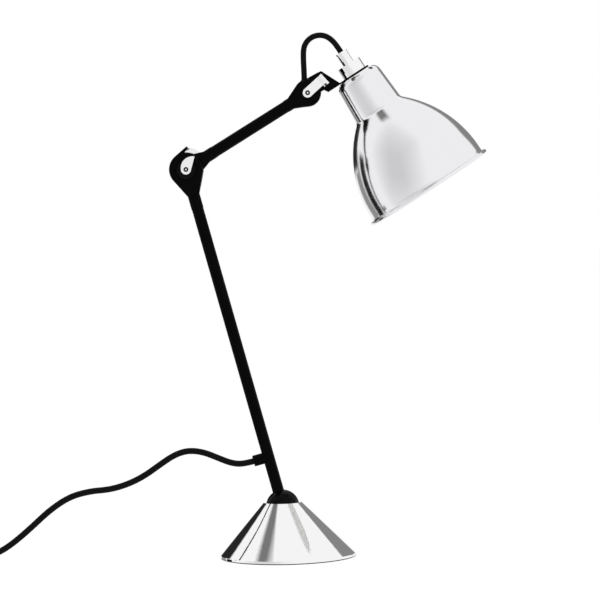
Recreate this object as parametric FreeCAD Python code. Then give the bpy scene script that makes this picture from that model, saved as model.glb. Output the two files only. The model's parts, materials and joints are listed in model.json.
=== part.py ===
import FreeCAD, Part
import math
import os

# Architect lamp: a weighted cone base with a ball, two arms with lever-locked joints and a bell shade.
# Millimetres, +Z up. The origin is the middle of the base's underside. The arms move in the XZ plane,
# the head is towards +X and the cord leaves towards -X. Front is -Y.

# Base
pad_thickness = 1.0
pad_inset = 0.5
base_radius = 70.0
base_lip = 2.0
base_edge_round = 1.2
base_height = 56.0
base_top_radius = 19.5
base_wall = 2.7
base_offset = 4.5
weight_gap = 0.3

# Ball and its seat
ball_radius = 17.4
ball_drop = 4.6
ball_clearance = 0.08
seat_radius = 12.0
seat_height = 9.0
seat_pin_radius = 4.0
seat_pin_length = 10.0
spring_radius = 10.0
spring_height = 0.92

# Arms
arm_lean = 14.4
arm_rise = 30.7
head_tilt = 31.5
lower_length = 359.0
upper_length = 146.2
tube_radius = 6.0
tube_wall = 1.2
tube_socket = 4.0
spigot_length = 15.0
fit = 0.05
level_slack = 0.001
ferrule_step = 0.3

# Wires inside the tubes
wire_radius = 2.0
wire_room = 0.3
wire_bend = 5.0

# Cord gland
gland_height = 53.0
gland_reach = 16.0
gland_radius = 5.75
gland_spigot_radius = 3.9
gland_spigot_depth = 0.8

# Elbow
cheek_radius = 17.5
cheek_outer = 11.0
cheek_round = 3.5
slot_half = 6.1
tongue_half = 5.0
tongue_radius = 13.7
slot_radius = 14.2
neck_drop = 27.5
knuckle_drop = 41.4
shoulder_drop = 14.0
tab_angle = 115.2
tab_length = 15.8
tab_thickness = 3.0
tab_half = 9.0
lower_stop_angle = 27.0
ferrule_start = 18.4
tongue_reach = 24.0
ferrule_end = 33.7
recess_radius = 11.5
recess_depth = 2.0
washer_radius = 12.5
washer_thickness = 1.0
lever_washer_radius = 9.5
lever_washer_thickness = 2.3
bolt_radius = 2.5
bolt_hollow = 1.3
bolt_hollow_depth = 3.0
bolt_stand = 0.4
lever_thickness = 2.4
lever_gap = 0.05
lever_end_radius = 5.1
lever_tip = (9.2, 13.0)
lever_back = (-1.5, 9.9)
lever_under_angle = -60.0
rear_tab_eye = 7.0
rear_tab_reach = 22.5
rear_tab_sides = (52.0, 87.0)
rear_tab_thickness = 2.0
bolt_head_radius = 5.5
bolt_head_height = 2.9

# Wrist
fork_radius = 13.8
fork_outer = 10.5
fork_round = 2.5
fork_slot_half = 6.5
fork_slot_radius = 14.4
fork_neck = 20.4
fork_end = 26.0
fork_shoulder = 13.0
head_tongue_radius = 13.2
head_tongue_front = -6.0
head_tongue_back = -1.2
wrist_washer_radius = 11.0
wrist_gap = 0.1
spacer_radius = 6.0
strap_width = 9.8
strap_bend_start = 16.8
strap_bend_middle = (17.8, 0.5)
strap_bend_end = 20.4
strap_rise = 4.0
strap_end = 23.0
strap_ear = 2.4
strap_thickness = 2.0
strap_angle = 41.0
nut_across_flats = 8.0
nut_height = 4.0

# Head bracket, in the head's own axes from the wrist pivot
shade_axis = 51.2
plate_top = -9.3
plate_thickness = 1.5
plate_radius = 16.0
bracket_shoulder = (18.4, 12.0)
bracket_corner = (23.7, 11.2)
bracket_foot = 33.0
bracket_toe = 18.2
bracket_notch = (15.7, -6.6)

# Shade: radii, and heights over its rim
shade_height = 139.0
shade_wall = 1.0
rim_radius = 70.0
rim_bead = 2.0
rim_width = 4.0
lip_height = 8.0
bell_arc_radius = 117.0
neck_low_radius = 26.6
neck_top_radius = 24.5
shoulder_radius = 9.0
vent_count = 6
vent_radius = 2.5
vent_turn = -13.0

# Collar, sleeve and lampholder
collar_radius = 12.9
collar_height = 11.5
sleeve_radius = 6.1
sleeve_height = 14.0
sleeve_lip = 0.5
sleeve_lip_height = 1.6
nipple_radius = 5.0
nipple_wall = 1.8
nipple_length = 24.0
lock_nut_across_flats = 14.0
lock_nut_height = 3.0
holder_radius = 14.0
holder_length = 38.0
holder_floor = 12.0
contact_radius = 3.0
contact_thickness = 1.0
cap_radius = 7.0
cap_clearance = 0.3
cap_length = 25.0
bulb_radius = 22.5
bulb_neck_radius = 8.5
bulb_neck_length = 12.0
bulb_wall = 0.8

# Head cord: a loop from the fork's bush to the sleeve, with its points counted from the wrist pivot
head_cord_radius = 2.9
bush_radius = 3.5
bush_length = 6.0
bush_foot = (-3.0, 2.9, 7.8)
head_cord_straight = 8.5
head_cord_points = [
    (-3.4, 2.7, 34.2), (-3.0, 2.4, 45.7), (0.1, 2.0, 52.3), (5.7, 1.5, 57.0),
    (12.8, 1.0, 58.9), (20.0, 0.5, 57.7), (26.0, 0.2, 53.5),
]

# Mains cord: from the gland down to the line switch
cord_radius = 3.2
cord_bend_share = 0.45
gland_straight = 11.0
switch_straight = 16.0
mains_points = [
    (-55.8, 0.0, 97.2), (-69.5, 0.0, 103.0), (-84.0, 0.0, 109.3), (-99.5, 0.0, 111.6),
    (-114.0, 0.0, 107.5), (-129.0, 0.0, 97.8), (-145.0, 0.0, 86.8), (-162.0, 0.0, 78.6),
    (-181.0, 0.0, 73.4), (-202.0, 0.0, 72.2), (-223.0, 0.0, 67.0), (-244.0, 0.0, 53.5),
    (-264.0, 0.0, 35.5), (-283.0, 0.0, 20.0), (-298.0, 0.0, 11.0),
]

# Line switch, with the link to the coil
switch_face = -330.0
switch_length = 58.0
switch_width = 26.0
switch_height = 15.0
switch_corner = 5.0
switch_top_round = 2.5
switch_entry = 7.0
rocker_length = 16.0
rocker_width = 10.0
rocker_depth = 6.0
rocker_rise = 1.6
rocker_gap = 0.6
rocker_throw = 7.0
link_points = [(-400.0, 0.0, 7.0), (-416.0, 0.0, 4.4)]
coil_start = -428.0

# Coil: loops laid in two layers, with its tie
coil_radius = 43.0
coil_turns = 3
coil_pitch = 7.0
coil_lift = 1.2
coil_tail = 20.0
tie_thickness = 0.8
tie_width = 10.0
tie_room = 0.3
tie_side_room = 0.9

# Plug
relief_length = 24.0
relief_radius = 7.0
relief_tip_radius = 4.4
plug_length = 36.0
plug_width = 34.0
plug_corner = 6.0
plug_top_round = 4.0
pin_radius = 2.4
pin_length = 19.0
pin_spacing = 19.0

# Places worked out from the sizes above
V = FreeCAD.Vector
BACK = V(0, 1, 0)
UP = V(0, 0, 1)
RIGHT = V(1, 0, 0)
cord_diameter = 2 * cord_radius
tube_bore = tube_radius - tube_wall
spigot_radius = tube_bore - fit
wire_bore = wire_radius + wire_room
ferrule_radius = tube_radius + ferrule_step
ball_height = base_height - ball_drop
ball_point = V(-base_offset, 0, ball_height)
seat_level = ball_height - ball_radius - ball_clearance - seat_height / 2
weight_top = seat_level - spring_height
lip_radius = rim_radius - rim_width
shade_top = plate_top - plate_thickness
rim_level = shade_top - shade_height
collar_top = plate_top + collar_height
sleeve_top = collar_top + sleeve_height


def turned_about_y(point, angle):
    """A point of a piece's own axes after the piece has turned about the Y axis."""
    a = math.radians(angle)
    x = point.x * math.cos(a) + point.z * math.sin(a)
    z = point.z * math.cos(a) - point.x * math.sin(a)
    return V(x, point.y, z)


elbow_point = ball_point + turned_about_y(V(0, 0, lower_length), -arm_lean)
wrist_point = elbow_point + turned_about_y(V(upper_length, 0, 0), -arm_rise)


def placed(shape, angle, point):
    """The shape turned about the Y axis of its own axes and moved to a point."""
    moved = shape.copy()
    moved.rotate(V(0, 0, 0), BACK, angle)
    moved.translate(point)
    return moved


def on_lower_arm(shape):
    return placed(shape, -arm_lean, ball_point)


def at_elbow(shape):
    """Pieces of the lower arm that are drawn from the elbow pivot."""
    return placed(shape, -arm_lean, elbow_point)


def on_upper_arm(shape):
    return placed(shape, -arm_rise, elbow_point)


def at_wrist(shape):
    """Pieces of the upper arm that are drawn from the wrist pivot."""
    return placed(shape, -arm_rise, wrist_point)


def on_head(shape):
    return placed(shape, -head_tilt, wrist_point)


def rod(radius, start, direction, length):
    return Part.makeCylinder(radius, length, start, direction)


def rod_y(radius, y_from, y_to):
    """A round bar along Y through the origin."""
    return Part.makeCylinder(radius, y_to - y_from, V(0, y_from, 0), BACK)


def polar(radius, angle):
    a = math.radians(angle)
    return (radius * math.cos(a), radius * math.sin(a))


def slab(points, y_from, y_to):
    """A flat piece: an outline in X and Z, as thick as from y_from to y_to."""
    corners = [V(x, y_from, z) for x, z in points]
    face = Part.Face(Part.makePolygon(corners + corners[:1]))
    return face.extrude(V(0, y_to - y_from, 0))


def teardrop(radius, neck_half, reach, y_from, y_to):
    """A disc about the origin with straight tangent sides that draw in to a neck along +X."""
    far = math.hypot(reach, neck_half)
    touch = math.degrees(math.atan2(neck_half, reach) + math.acos(radius / far))
    x, z = polar(radius, touch)
    sides = slab([(x, z), (reach, neck_half), (reach, -neck_half), (x, -z)], y_from, y_to)
    return rod_y(radius, y_from, y_to).fuse(sides).removeSplitter()


def with_round_cheeks(drop, reach, outer, radius):
    """A teardrop whose front and back outlines are rounded, apart from the neck's end."""
    rims = []
    for edge in drop.Edges:
        on_face = all(abs(abs(v.Y) - outer) < fit for v in edge.Vertexes)
        if on_face and edge.CenterOfMass.x < reach - fit and abs(abs(edge.CenterOfMass.y) - outer) < fit:
            rims.append(edge)
    return drop.makeFillet(radius, rims)


def ring(outer, inner, start, direction, length):
    return rod(outer, start, direction, length).cut(rod(inner, start, direction, length))


def hexagon(across_flats, start, direction, length):
    """A hexagonal prism along Z or Y."""
    corner = across_flats / math.sqrt(3)
    corners = []
    for i in range(6):
        a, b = polar(corner, 60 * i)
        corners.append(start + (V(a, b, 0) if direction == UP else V(a, 0, b)))
    face = Part.Face(Part.makePolygon(corners + corners[:1]))
    return face.extrude(direction * length)


def cone_between(low_radius, low_z, high_radius, high_z):
    """A cone with level ends whose axis leans from the base's middle towards the ball."""
    slope = base_offset / (base_height - pad_thickness - base_lip)
    start = pad_thickness + base_lip
    low = Part.Wire(Part.makeCircle(low_radius, V(-slope * (low_z - start), 0, low_z)))
    high = Part.Wire(Part.makeCircle(high_radius, V(-slope * (high_z - start), 0, high_z)))
    return Part.makeLoft([low, high], True, True)


def is_level(edge, z):
    """Whether an edge lies all at one height."""
    box = edge.BoundBox
    return abs(box.ZMin - z) < level_slack and abs(box.ZMax - z) < level_slack


def base_outer(z):
    """The radius of the base's outside at a height over its lip."""
    start = pad_thickness + base_lip
    return base_radius + (base_top_radius - base_radius) * (z - start) / (base_height - start)


def rounded_route(points, name):
    """Straight runs joined by arcs as large as the runs allow, as edges in a row."""
    edges = []
    radii = []
    last = points[0]
    for before, corner, after in zip(points, points[1:], points[2:]):
        into = (corner - before).normalize()
        out = (after - corner).normalize()
        half = into.getAngle(out) / 2
        reach = cord_bend_share * min((corner - before).Length, (after - corner).Length)
        radius = reach / math.tan(half)
        radii.append(radius)
        start = corner - into * reach
        end = corner + out * reach
        inward = (out - into).normalize()
        middle = corner + inward * (radius / math.cos(half) - radius)
        edges.append(Part.LineSegment(last, start).toShape())
        edges.append(Part.Arc(start, middle, end).toShape())
        last = end
    edges.append(Part.LineSegment(last, points[-1]).toShape())
    print(name, "smallest bend radius", round(min(radii), 1))
    return edges


def tube_along(edges, radius, name):
    """A round solid along edges that follow one another."""
    route = Part.Wire(edges)
    first = edges[0]
    start = first.valueAt(first.FirstParameter)
    heading = first.tangentAt(first.FirstParameter)
    section = Part.Wire(Part.makeCircle(radius, start, heading))
    tube = route.makePipeShell([section], True, False)
    expected = math.pi * radius ** 2 * route.Length
    share = round(tube.Volume / expected, 4)
    print(name, "length", round(route.Length, 1), "volume over section times length", share)
    return tube


def save(name, shape):
    solids = shape.Solids
    whole = solids[0] if len(solids) == 1 else Part.makeCompound(solids)
    print(name, "solids", len(solids), "valid", whole.isValid(), "volume", round(whole.Volume))
    whole.exportStep("parts/" + name + ".step")


# Base pieces

def base_shell():
    start = pad_thickness + base_lip
    lip = rod(base_radius, V(0, 0, pad_thickness), UP, base_lip)
    outside = lip.fuse(cone_between(base_radius, start, base_top_radius, base_height)).removeSplitter()
    edge = [e for e in outside.Edges if is_level(e, start)]
    outside = outside.makeFillet(base_edge_round, edge)
    lip_room = rod(base_radius - base_wall, V(0, 0, pad_thickness), UP, base_lip)
    inside = cone_between(base_radius - base_wall, start, base_top_radius - base_wall, base_height)
    socket = Part.makeSphere(ball_radius + ball_clearance, ball_point)
    return outside.cut(lip_room.fuse(inside)).cut(socket).removeSplitter()


def base_weight():
    start = pad_thickness + base_lip
    wall = base_wall + weight_gap
    foot = rod(base_radius - wall, V(0, 0, pad_thickness), UP, base_lip)
    block = cone_between(base_radius - wall, start, base_outer(weight_top) - wall, weight_top)
    bore_depth = seat_pin_length + weight_gap
    bore = rod(seat_pin_radius + fit, V(-base_offset, 0, weight_top - bore_depth), UP, bore_depth)
    return foot.fuse(block).cut(bore).removeSplitter()


def base_pad():
    return rod(base_radius - pad_inset, V(0, 0, 0), UP, pad_thickness)


def ball_seat():
    under = V(-base_offset, 0, seat_level)
    cup = rod(seat_radius, under, UP, seat_height)
    cup = cup.cut(Part.makeSphere(ball_radius + ball_clearance, ball_point))
    pin = rod(seat_pin_radius, under, UP * -1, spring_height + seat_pin_length)
    return cup.fuse(pin)


def seat_spring():
    under = V(-base_offset, 0, weight_top)
    return ring(spring_radius, seat_pin_radius + fit, under, UP, spring_height)


# Lower arm pieces, drawn from the ball's centre with +Z along the tube

def ball():
    hole = rod(tube_radius + fit, V(0, 0, tube_socket), UP, ball_radius)
    return Part.makeSphere(ball_radius).cut(hole)


def lower_tube():
    length = lower_length - knuckle_drop - tube_socket
    tube = ring(tube_radius, tube_bore, V(0, 0, tube_socket), UP, length)
    hole = rod(gland_spigot_radius + fit, V(0, 0, gland_height), RIGHT * -1, tube_radius)
    return tube.cut(hole)


def cord_gland():
    middle = V(0, 0, gland_height)
    boss = rod(gland_radius, middle, RIGHT * -1, gland_reach)
    boss = boss.cut(rod(tube_radius + fit, middle - UP * tube_radius * 2, UP, tube_radius * 4))
    inner = tube_bore - gland_spigot_depth
    spigot = rod(gland_spigot_radius, middle - RIGHT * inner, RIGHT * -1, gland_reach - inner)
    bore = rod(wire_bore, middle, RIGHT * -1, gland_reach)
    return boss.fuse(spigot).cut(bore)


def lower_wire():
    """Comes in through the gland, bends up and runs to the knuckle's spigot."""
    outer = V(-gland_reach, 0, gland_height)
    bend_start = V(-wire_bend, 0, gland_height)
    bend_end = V(0, 0, gland_height + wire_bend)
    to_middle = wire_bend * (1 - math.sqrt(0.5))
    bend_middle = V(-to_middle, 0, gland_height + to_middle)
    top = V(0, 0, lower_length - knuckle_drop)
    edges = [
        Part.LineSegment(outer, bend_start).toShape(),
        Part.Arc(bend_start, bend_middle, bend_end).toShape(),
        Part.LineSegment(bend_end, top).toShape(),
    ]
    return tube_along(edges, wire_radius, "lower_wire")


# Elbow pieces of the lower arm, drawn from the elbow pivot with +Z along the tube

def strip(corner, heading, length, thickness, y_half):
    """A flat strip that starts at a corner and lies to the right of its heading."""
    ux, uz = polar(1.0, heading)
    nx, nz = polar(1.0, heading - 90)
    x, z = corner
    ends = [(x, z), (x + length * ux, z + length * uz)]
    inner = [(ex + thickness * nx, ez + thickness * nz) for ex, ez in ends]
    return slab(ends + inner[::-1], -y_half, y_half)


def depth_envelope(wide, narrow, wide_to, narrow_from, top):
    """A prism along X that draws the depth in from wide to narrow, down the Z axis."""
    half_length = 2 * cheek_radius
    points = [(top, wide), (-wide_to, wide), (-narrow_from, narrow), (-2 * narrow_from, narrow)]
    corners = [V(-half_length, y, z) for z, y in points]
    corners += [V(-half_length, -y, z) for z, y in points[::-1]]
    face = Part.Face(Part.makePolygon(corners + corners[:1]))
    return face.extrude(RIGHT * 2 * half_length)


def lower_knuckle():
    drop = teardrop(cheek_radius, tube_radius, neck_drop, -cheek_outer, cheek_outer)
    drop = with_round_cheeks(drop, neck_drop, cheek_outer, cheek_round)
    drop.rotate(V(0, 0, 0), BACK, 90)
    envelope = depth_envelope(cheek_outer, tube_radius, shoulder_drop, neck_drop, 2 * cheek_radius)
    drop = drop.common(envelope)
    tab = strip(polar(cheek_radius, tab_angle), tab_angle - 90, tab_length, tab_thickness, tab_half)
    neck = rod(ferrule_radius, V(0, 0, -knuckle_drop), UP, knuckle_drop - slot_radius - tube_wall)
    spigot = rod(spigot_radius, V(0, 0, -knuckle_drop - spigot_length), UP, spigot_length)
    body = drop.fuse([tab, neck, spigot])
    far = 3 * cheek_radius
    high = polar(slot_radius, tab_angle)
    low = polar(slot_radius, -90 - lower_stop_angle)
    high_way = polar(far, tab_angle - 90)
    low_way = polar(far, -lower_stop_angle)
    swing = slab([
        high,
        (high[0] + high_way[0], high[1] + high_way[1]),
        (low[0] + low_way[0], low[1] + low_way[1]),
        low,
    ], -slot_half, slot_half)
    slot = rod_y(slot_radius, -slot_half, slot_half).fuse(swing)
    body = body.cut(slot)
    body = body.cut(rod_y(recess_radius, -cheek_outer, recess_depth - cheek_outer))
    body = body.cut(rod_y(recess_radius, cheek_outer - recess_depth, cheek_outer))
    body = body.cut(rod_y(bolt_radius + fit, -cheek_outer, cheek_outer))
    bore_length = knuckle_drop + spigot_length
    body = body.cut(rod(wire_bore, V(0, 0, -bore_length), UP, bore_length))
    return body.removeSplitter()


def elbow_washers():
    first = slot_half - fit - washer_thickness
    hole = bolt_radius + fit
    front = ring(washer_radius, hole, V(0, -first - washer_thickness, 0), BACK, washer_thickness)
    back = ring(washer_radius, hole, V(0, first, 0), BACK, washer_thickness)
    return Part.makeCompound([front, back])


def recess_floor():
    return cheek_outer - recess_depth


def lever_washers():
    front_start = V(0, -recess_floor() - lever_washer_thickness, 0)
    front = ring(lever_washer_radius, bolt_radius + fit, front_start, BACK, lever_washer_thickness)
    back_start = V(0, recess_floor(), 0)
    back = ring(lever_washer_radius, bolt_radius + fit, back_start, BACK, lever_washer_thickness)
    return Part.makeCompound([front, back])


def lever_face():
    """How far the lever's inner face stands from the middle plane."""
    return recess_floor() + lever_washer_thickness + lever_gap


def rear_tab_outer():
    return recess_floor() + lever_washer_thickness + rear_tab_thickness


def elbow_bolt():
    front = lever_face() + lever_thickness + bolt_stand
    shank = rod_y(bolt_radius, -front, rear_tab_outer())
    head = rod_y(bolt_head_radius, rear_tab_outer(), rear_tab_outer() + bolt_head_height)
    hollow = rod_y(bolt_hollow, -front, bolt_hollow_depth - front)
    return shank.fuse(head).cut(hollow)


def elbow_lever():
    """A lever with a round end on the bolt and one pointed end, in world X and Z from the pivot."""
    y_to = -lever_face()
    y_from = y_to - lever_thickness
    tip = V(lever_tip[0], y_from, lever_tip[1])
    back = V(lever_back[0], y_from, lever_back[1])
    left = V(-lever_end_radius, y_from, 0)
    bottom_x, bottom_z = polar(lever_end_radius, lever_under_angle)
    bottom = V(bottom_x, y_from, bottom_z)
    far = math.hypot(tip.x, tip.z)
    touch = math.atan2(tip.z, tip.x) - math.acos(lever_end_radius / far)
    right = V(lever_end_radius * math.cos(touch), y_from, lever_end_radius * math.sin(touch))
    edges = [
        Part.LineSegment(tip, right).toShape(),
        Part.Arc(right, bottom, left).toShape(),
        Part.Arc(left, back, tip).toShape(),
    ]
    plate = Part.Face(Part.Wire(edges)).extrude(BACK * lever_thickness)
    return plate.cut(rod_y(bolt_radius + fit, y_from, y_to))


def elbow_rear_tab():
    """A fan-shaped plate with its eye on the bolt, in world X and Z from the pivot."""
    y_to = rear_tab_outer()
    y_from = y_to - rear_tab_thickness
    far = 2 * rear_tab_reach
    fan = slab([(0, 0), polar(far, rear_tab_sides[0]), polar(far, rear_tab_sides[1])], y_from, y_to)
    fan = fan.common(rod_y(rear_tab_reach, y_from, y_to))
    plate = fan.fuse(rod_y(rear_tab_eye, y_from, y_to))
    return plate.cut(rod_y(bolt_radius + fit, y_from, y_to)).removeSplitter()


# Upper arm pieces, drawn from the elbow pivot with +X along the tube

def upper_knuckle():
    tongue = teardrop(tongue_radius, ferrule_radius, tongue_reach, -tongue_half, tongue_half)
    ferrule = rod(ferrule_radius, V(ferrule_start, 0, 0), RIGHT, ferrule_end - ferrule_start)
    spigot = rod(spigot_radius, V(ferrule_end, 0, 0), RIGHT, spigot_length)
    body = tongue.fuse([ferrule, spigot])
    body = body.cut(rod_y(bolt_radius + fit, -tongue_half, tongue_half))
    bore = rod(wire_bore, V(tongue_radius, 0, 0), RIGHT, ferrule_end + spigot_length - tongue_radius)
    return body.cut(bore)


def upper_tube():
    length = upper_length - ferrule_end - fork_end
    return ring(tube_radius, tube_bore, V(ferrule_end, 0, 0), RIGHT, length)


def upper_wire():
    length = upper_length - tongue_radius - fork_slot_radius
    return rod(wire_radius, V(tongue_radius, 0, 0), RIGHT, length)


# Wrist pieces of the upper arm, drawn from the wrist pivot with the tube along -X

def wrist_fork():
    drop = teardrop(fork_radius, tube_radius, fork_neck, -fork_outer, fork_outer)
    drop = with_round_cheeks(drop, fork_neck, fork_outer, fork_round)
    envelope = depth_envelope(fork_outer, tube_radius, fork_shoulder, fork_neck, 2 * fork_radius)
    envelope.rotate(V(0, 0, 0), BACK, -90)
    drop = drop.common(envelope)
    neck_start = fork_slot_radius + tube_wall
    neck = rod(ferrule_radius, V(neck_start, 0, 0), RIGHT, fork_end - neck_start)
    spigot = rod(spigot_radius, V(fork_end, 0, 0), RIGHT, spigot_length)
    body = drop.fuse([neck, spigot])
    slot = rod_y(fork_slot_radius, -fork_slot_half, fork_slot_half)
    mouth = slab([
        (0, fork_slot_radius),
        (-2 * fork_radius, fork_slot_radius),
        (-2 * fork_radius, -fork_slot_radius),
        (0, -fork_slot_radius),
    ], -fork_slot_half, fork_slot_half)
    body = body.cut(slot.fuse(mouth))
    body = body.cut(rod_y(bolt_radius + fit, -fork_outer, fork_outer))
    body = body.cut(rod(wire_bore, V(0, 0, 0), RIGHT, fork_end + spigot_length))
    body.rotate(V(0, 0, 0), UP, 180)
    return body.removeSplitter()


def wrist_washer():
    start = V(0, -fork_slot_half + fit, 0)
    thickness = fork_slot_half + head_tongue_front - 2 * fit
    return ring(wrist_washer_radius, bolt_radius + fit, start, BACK, thickness)


def wrist_spacer():
    start = V(0, head_tongue_back + wrist_gap, 0)
    length = fork_slot_half - fit - head_tongue_back - wrist_gap
    return ring(spacer_radius, bolt_radius + fit, start, BACK, length)


def strap_outer():
    return fork_outer + wrist_gap + strap_thickness


def wrist_bolt():
    front = strap_outer() + bolt_stand
    shank = rod_y(bolt_radius, -front, fork_outer + nut_height)
    return shank.cut(rod_y(bolt_hollow, -front, bolt_hollow_depth - front))


def wrist_nut():
    nut = hexagon(nut_across_flats, V(0, fork_outer, 0), BACK, nut_height)
    return nut.cut(rod_y(bolt_radius + fit, fork_outer, fork_outer + nut_height))


def bent_plate(line, inner, low, high):
    """A plate of the strap's thickness along a bent line of (along, out) points, from low to high."""
    back = [V(x, inner - out, low) for x, out in line]
    front = [V(x, inner - out - strap_thickness, low) for x, out in reversed(line)]
    corners = back + front
    return Part.Face(Part.makePolygon(corners + corners[:1])).extrude(UP * (high - low))


def wrist_lever():
    """A strap with a round end on the bolt, whose wider free end bends out towards the hand."""
    inner = -fork_outer - wrist_gap
    half = strap_width / 2
    line = [
        (0, 0),
        (strap_bend_start, 0),
        strap_bend_middle,
        (strap_bend_end, strap_rise),
        (strap_end, strap_rise),
    ]
    strap = bent_plate(line, inner, -half, half)
    grip = bent_plate(line[1:], inner, -half - strap_ear, half)
    strap = strap.fuse([grip, rod_y(half, inner - strap_thickness, inner)]).removeSplitter()
    strap = strap.cut(rod_y(bolt_radius + fit, inner - strap_thickness, inner))
    strap.rotate(V(0, 0, 0), BACK, -strap_angle)
    return strap


def cord_bush():
    """A rubber bush between the fork's cheeks, where the head cord comes out."""
    return ring(bush_radius, wire_radius, V(*bush_foot), UP, bush_length)


# Head pieces, drawn from the wrist pivot with the shade pointing straight down

def head_bracket():
    web = slab([
        (0, head_tongue_radius),
        bracket_shoulder,
        bracket_corner,
        (bracket_foot, plate_top),
        (bracket_foot, shade_top),
        (bracket_toe, shade_top),
        bracket_notch,
        (0, bracket_notch[1]),
    ], head_tongue_front, head_tongue_back)
    disc = rod_y(head_tongue_radius, head_tongue_front, head_tongue_back)
    plate_start = V(shade_axis, 0, shade_top)
    plate = rod(plate_radius, plate_start, UP, plate_thickness)
    strip_half = -head_tongue_front
    tongue = slab([
        (bracket_toe, shade_top),
        (shade_axis, shade_top),
        (shade_axis, plate_top),
        (bracket_toe, plate_top),
    ], -strip_half, strip_half)
    body = web.fuse([disc, plate, tongue])
    body = body.cut(rod(nipple_radius + fit, plate_start, UP, plate_thickness))
    return body.cut(rod_y(bolt_radius + fit, head_tongue_front, head_tongue_back)).removeSplitter()


def shade_profile(inset):
    """Edges of the shade's outline from the lip up to the top plate, drawn in by an inset."""
    lip = lip_radius - inset
    bell_centre = lip_radius - bell_arc_radius
    bell_radius = bell_arc_radius - inset
    kink_radius = neck_low_radius - inset
    kink_height = lip_height + math.sqrt(bell_radius ** 2 - (kink_radius - bell_centre) ** 2)
    half_angle = math.atan2(kink_height - lip_height, kink_radius - bell_centre) / 2
    bell_x = bell_centre + bell_radius * math.cos(half_angle)
    bell_z = lip_height + bell_radius * math.sin(half_angle)
    shoulder_centre = neck_top_radius - shoulder_radius
    shoulder_height = shade_height - shoulder_radius
    bend = shoulder_radius - inset
    root = math.sqrt(0.5)
    points = {
        "foot": V(lip, 0, 0),
        "lip": V(lip, 0, lip_height),
        "bell": V(bell_x, 0, bell_z),
        "kink": V(kink_radius, 0, kink_height),
        "neck": V(neck_top_radius - inset, 0, shoulder_height),
        "bend": V(shoulder_centre + bend * root, 0, shoulder_height + bend * root),
        "edge": V(shoulder_centre, 0, shade_height - inset),
        "top": V(nipple_radius + fit, 0, shade_height - inset),
    }
    edges = [
        Part.LineSegment(points["foot"], points["lip"]).toShape(),
        Part.Arc(points["lip"], points["bell"], points["kink"]).toShape(),
        Part.LineSegment(points["kink"], points["neck"]).toShape(),
        Part.Arc(points["neck"], points["bend"], points["edge"]).toShape(),
        Part.LineSegment(points["edge"], points["top"]).toShape(),
    ]
    return edges, points


def shade():
    outer, outer_points = shade_profile(0.0)
    inner, inner_points = shade_profile(shade_wall)
    closing = [
        Part.LineSegment(outer_points["top"], inner_points["top"]).toShape(),
        Part.LineSegment(outer_points["foot"], inner_points["foot"]).toShape(),
    ]
    skin = Part.Face(Part.Wire(Part.__sortEdges__(outer + inner + closing)))
    bell = skin.revolve(V(0, 0, 0), UP, 360)
    flange = ring(rim_radius - rim_bead, lip_radius - shade_wall, V(0, 0, 0), UP, 2 * rim_bead)
    bead = Part.makeTorus(rim_radius - rim_bead, rim_bead, V(0, 0, rim_bead), UP)
    body = bell.fuse([flange, bead])
    shoulder_centre = neck_top_radius - shoulder_radius
    for i in range(vent_count):
        turn = vent_turn - 90 + i * 360 / vent_count
        cx, cy = polar(shoulder_centre, turn)
        outward = V(*polar(1.0, turn), 1.0).normalize()
        bend_centre = V(cx, cy, shade_height - shoulder_radius)
        start = bend_centre + outward * (shoulder_radius - vent_radius)
        body = body.cut(rod(vent_radius, start, outward, 2 * vent_radius))
    body.translate(V(shade_axis, 0, rim_level))
    return body


def collar():
    start = V(shade_axis, 0, plate_top)
    return ring(collar_radius, nipple_radius + fit, start, UP, collar_height)


def sleeve():
    start = V(shade_axis, 0, collar_top)
    tube = rod(sleeve_radius, start, UP, sleeve_height)
    lip_start = V(shade_axis, 0, sleeve_top - sleeve_lip_height)
    lip = rod(sleeve_radius + sleeve_lip, lip_start, UP, sleeve_lip_height)
    return tube.fuse(lip).cut(rod(wire_radius, start, UP, sleeve_height)).removeSplitter()


def nipple_foot():
    return collar_top - nipple_length


def nipple():
    start = V(shade_axis, 0, nipple_foot())
    return ring(nipple_radius, nipple_radius - nipple_wall, start, UP, nipple_length)


def lock_nut():
    top = shade_top - shade_wall
    start = V(shade_axis, 0, top - lock_nut_height)
    nut = hexagon(lock_nut_across_flats, start, UP, lock_nut_height)
    return nut.cut(rod(nipple_radius + fit, start, UP, lock_nut_height))


def holder_top():
    return shade_top - shade_wall - lock_nut_height


def lampholder():
    foot = V(shade_axis, 0, holder_top() - holder_length)
    body = rod(holder_radius, foot, UP, holder_length)
    body = body.cut(rod(cap_radius + cap_clearance, foot, UP, holder_length - holder_floor))
    bore_foot = V(shade_axis, 0, nipple_foot())
    return body.cut(rod(nipple_radius + fit, bore_foot, UP, holder_top() - nipple_foot()))


def contact_level():
    return holder_top() - holder_floor - contact_thickness


def lampholder_contact():
    return rod(contact_radius, V(shade_axis, 0, contact_level()), UP, contact_thickness)


def bulb_cap():
    return rod(cap_radius, V(shade_axis, 0, contact_level() - cap_length), UP, cap_length)


def bulb():
    top = contact_level() - cap_length
    centre = V(shade_axis, 0, top - bulb_neck_length - bulb_radius)
    neck = rod(bulb_neck_radius, V(shade_axis, 0, centre.z), UP, top - centre.z)
    hollow = Part.makeSphere(bulb_radius - bulb_wall, centre)
    neck_hollow = rod(bulb_neck_radius - bulb_wall, V(shade_axis, 0, centre.z), UP, top - centre.z)
    return Part.makeSphere(bulb_radius, centre).fuse(neck).cut(hollow.fuse(neck_hollow))


# Cords, in the lamp's own axes

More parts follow.
